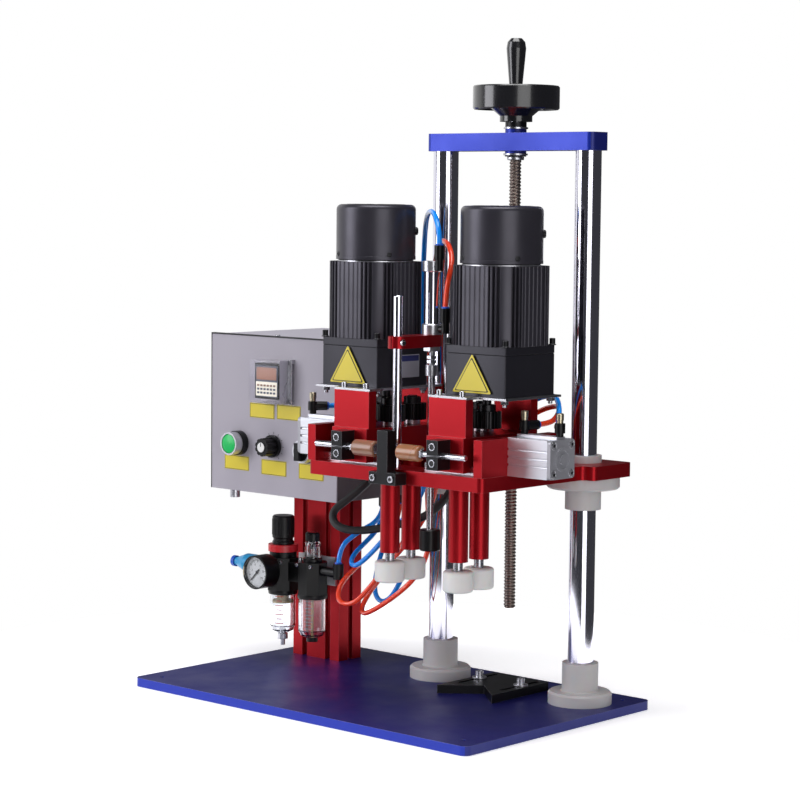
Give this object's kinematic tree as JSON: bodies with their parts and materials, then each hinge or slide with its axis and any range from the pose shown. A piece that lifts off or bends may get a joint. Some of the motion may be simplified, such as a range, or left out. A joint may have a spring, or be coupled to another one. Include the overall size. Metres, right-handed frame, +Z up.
{
  "type": "bottle capping machine",
  "caption": "Benchtop bottle capping machine: lifting head with twin geared motors, sliding cylinder-driven clamps with grip wheels, control box and air filter set.",
  "frame": {"origin": "centre of the base plate's underside", "axes": "+X along the long front edge to the right, +Y to the back, +Z up"},
  "size_m": [0.6025, 0.3665, 0.7741],
  "materials": {
    "blue_plate": "blue anodised satin",
    "nylon": "milky nylon",
    "chrome_rod": "polished hard chrome",
    "red_anodised": "red anodised satin",
    "black_steel": "black oxide",
    "steel": "bright steel",
    "silver": "clear anodised",
    "motor": "dark grey enamel",
    "black_plastic": "black plastic",
    "box_paint": "light grey powder coat",
    "grey_plastic": "grey plastic",
    "clear": "clear polycarbonate",
    "button_green": "glossy green",
    "grip": "off-white silicone",
    "hose_blue": "blue polyurethane tube",
    "hose_red": "red polyurethane tube",
    "cable_black": "black cable jacket",
    "brass": "bright brass",
    "red_mark": "red plastic"
  },
  "bodies": {
    "frame": {"base_plate": "blue_plate", "column_sockets": "nylon", "columns": "chrome_rod", "top_plate": "blue_plate", "box_post": "red_anodised", "control_box": "box_paint", "timer_body": "grey_plastic", "air_set": "black_plastic", "air_bowls": "clear", "guide_bolts": "steel", "supply_hose": "hose_blue", "feed_red": "hose_red", "feed_blue": "hose_blue", "motor_cable": "cable_black"},
    "guide": {"guide_block": "motor"},
    "power_button": {"power_button": "button_green"},
    "selector": {"selector_knob": "black_plastic"},
    "torque_knob": {"torque_knob": "black_plastic"},
    "timer_cover": {"timer_cover": "clear"},
    "regulator": {"regulator_knob": "black_plastic"},
    "gauge_needle": {"gauge_needle": "red_mark"},
    "drain": {"drain_valve": "silver"},
    "oil_knob": {"oil_knob": "black_plastic"},
    "screw": {"lead_screw": "steel", "handwheel": "black_plastic"},
    "handle": {"wheel_handle": "black_plastic"},
    "head": {"head_plate": "red_anodised", "head_bushes": "nylon", "slide_rails": "steel", "clamp_cylinders": "silver", "port_elbows": "black_plastic", "stop_block": "black_steel", "clamp_hoses_red": "hose_red", "clamp_hoses_blue": "hose_blue", "press_hose_red": "hose_red", "press_hose_blue": "hose_blue"},
    "arm": {"press_arm": "red_anodised", "press_cylinder": "steel", "press_elbows": "black_plastic"},
    "presser": {"press_rod": "steel"},
    "carriage_left": {"carriage_left": "red_anodised", "motor_mount_left": "steel", "gearmotor_left": "motor", "stop_clamp_left": "black_steel"},
    "stop_left": {"stop_screw_left": "steel"},
    "pinion_left": {"pinion_left": "black_steel"},
    "spindle_left_front": {"spindle_left_front": "grip"},
    "spindle_left_back": {"spindle_left_back": "grip"},
    "flow_left_inner": {"flow_knob_left_inner": "brass"},
    "flow_left_outer": {"flow_knob_left_outer": "brass"},
    "carriage_right": {"carriage_right": "red_anodised", "motor_mount_right": "steel", "gearmotor_right": "motor", "stop_clamp_right": "black_steel"},
    "stop_right": {"stop_screw_right": "steel"},
    "pinion_right": {"pinion_right": "black_steel"},
    "spindle_right_front": {"spindle_right_front": "grip"},
    "spindle_right_back": {"spindle_right_back": "grip"},
    "flow_right_inner": {"flow_knob_right_inner": "brass"},
    "flow_right_outer": {"flow_knob_right_outer": "brass"}
  },
  "joints": [
    {"name": "screw_turn", "type": "hinge", "parent": "frame", "child": "screw", "pos_m": [0.10475, 0.0974, 0.655], "axis": [0, 0, 1], "range_deg": [-10805, 9005]},
    {"name": "head_lift", "type": "slide", "parent": "frame", "child": "head", "axis": [0, 0, 1], "range_m": [-0.1, 0.12], "deforming": ["feed_red", "feed_blue", "motor_cable"]},
    {"name": "handle_spin", "type": "hinge", "parent": "screw", "child": "handle", "pos_m": [0.12753, 0.06824, 0.73], "axis": [0, 0, 1], "continuous": true},
    {"name": "clamp_left", "type": "slide", "parent": "head", "child": "carriage_left", "axis": [1, 0, 0], "range_m": [-0.014, 0.0079]},
    {"name": "pinion_left", "type": "hinge", "parent": "carriage_left", "child": "pinion_left", "pos_m": [0.0377, -0.049, 0.35], "axis": [0, 0, 1], "continuous": true},
    {"name": "spindle_left_front", "type": "hinge", "parent": "carriage_left", "child": "spindle_left_front", "pos_m": [0.0617, -0.067, 0.25], "axis": [0, 0, 1], "continuous": true},
    {"name": "spindle_left_back", "type": "hinge", "parent": "carriage_left", "child": "spindle_left_back", "pos_m": [0.0617, -0.031, 0.25], "axis": [0, 0, 1], "continuous": true},
    {"name": "stop_screw_left", "type": "slide", "parent": "carriage_left", "child": "stop_left", "axis": [-1, 0, 0], "range_m": [-0.007, 0.008]},
    {"name": "flow_left_inner", "type": "hinge", "parent": "head", "child": "flow_left_inner", "pos_m": [-0.0273, -0.052, 0.35], "axis": [0, 0, 1], "range_deg": [-720, 720]},
    {"name": "flow_left_outer", "type": "hinge", "parent": "head", "child": "flow_left_outer", "pos_m": [-0.0763, -0.052, 0.35], "axis": [0, 0, 1], "range_deg": [-720, 720]},
    {"name": "clamp_right", "type": "slide", "parent": "head", "child": "carriage_right", "axis": [-1, 0, 0], "range_m": [-0.014, 0.009]},
    {"name": "pinion_right", "type": "hinge", "parent": "carriage_right", "child": "pinion_right", "pos_m": [0.1882, -0.049, 0.35], "axis": [0, 0, 1], "continuous": true},
    {"name": "spindle_right_front", "type": "hinge", "parent": "carriage_right", "child": "spindle_right_front", "pos_m": [0.1642, -0.067, 0.25], "axis": [0, 0, 1], "continuous": true},
    {"name": "spindle_right_back", "type": "hinge", "parent": "carriage_right", "child": "spindle_right_back", "pos_m": [0.1642, -0.031, 0.25], "axis": [0, 0, 1], "continuous": true},
    {"name": "stop_screw_right", "type": "slide", "parent": "carriage_right", "child": "stop_right", "axis": [1, 0, 0], "range_m": [-0.008, 0.008]},
    {"name": "flow_right_inner", "type": "hinge", "parent": "head", "child": "flow_right_inner", "pos_m": [0.2444, -0.052, 0.35], "axis": [0, 0, 1], "range_deg": [-720, 720]},
    {"name": "flow_right_outer", "type": "hinge", "parent": "head", "child": "flow_right_outer", "pos_m": [0.2934, -0.052, 0.35], "axis": [0, 0, 1], "range_deg": [-720, 720]},
    {"name": "press_arm", "type": "slide", "parent": "head", "child": "arm", "axis": [0, 0, 1], "range_m": [-0.04, 0.04], "deforming": ["press_hose_red", "press_hose_blue"]},
    {"name": "press_stroke", "type": "slide", "parent": "arm", "child": "presser", "axis": [0, 0, -1], "range_m": [0, 0.025]},
    {"name": "guide_slide", "type": "slide", "parent": "frame", "child": "guide", "axis": [0, 1, 0], "range_m": [-0.03, 0.034]},
    {"name": "power_press", "type": "slide", "parent": "frame", "child": "power_button", "axis": [0, 1, 0], "range_m": [0, 0.0035], "stiffness_N_per_m": 400, "springref_m": -0.002},
    {"name": "selector_turn", "type": "hinge", "parent": "frame", "child": "selector", "pos_m": [-0.1254, -0.01, 0.2847], "axis": [0, 1, 0], "range_deg": [0, 90]},
    {"name": "torque_turn", "type": "hinge", "parent": "frame", "child": "torque_knob", "pos_m": [-0.1919, -0.01, 0.2847], "axis": [0, 1, 0], "range_deg": [-150, 150]},
    {"name": "timer_cover_swing", "type": "hinge", "parent": "frame", "child": "timer_cover", "pos_m": [-0.1588, -0.0055, 0.3657], "axis": [0, 0, 1], "range_deg": [0, 100]},
    {"name": "regulator_turn", "type": "hinge", "parent": "frame", "child": "regulator", "pos_m": [-0.2154, 0.04, 0.17], "axis": [0, 0, 1], "range_deg": [-360, 360]},
    {"name": "gauge_needle_turn", "type": "hinge", "parent": "frame", "child": "gauge_needle", "pos_m": [-0.2154, -0.006, 0.126], "axis": [0, 1, 0], "range_deg": [0, 270], "stiffness_Nm_per_rad": 0.0005},
    {"name": "drain_turn", "type": "hinge", "parent": "frame", "child": "drain", "pos_m": [-0.2154, 0.04, 0.04], "axis": [0, 0, 1], "range_deg": [0, 90]},
    {"name": "oil_turn", "type": "hinge", "parent": "frame", "child": "oil_knob", "pos_m": [-0.1639, 0.04, 0.17], "axis": [0, 0, 1], "range_deg": [-360, 360]}
  ],
  "couplings": [
    {"joint": "screw_turn", "follows": "head_lift", "rad_per_m": -1570.8},
    {"joint": "spindle_left_front", "follows": "pinion_left", "ratio": -1},
    {"joint": "spindle_left_back", "follows": "pinion_left", "ratio": -1},
    {"joint": "spindle_right_front", "follows": "pinion_right", "ratio": -1},
    {"joint": "spindle_right_back", "follows": "pinion_right", "ratio": -1}
  ]
}
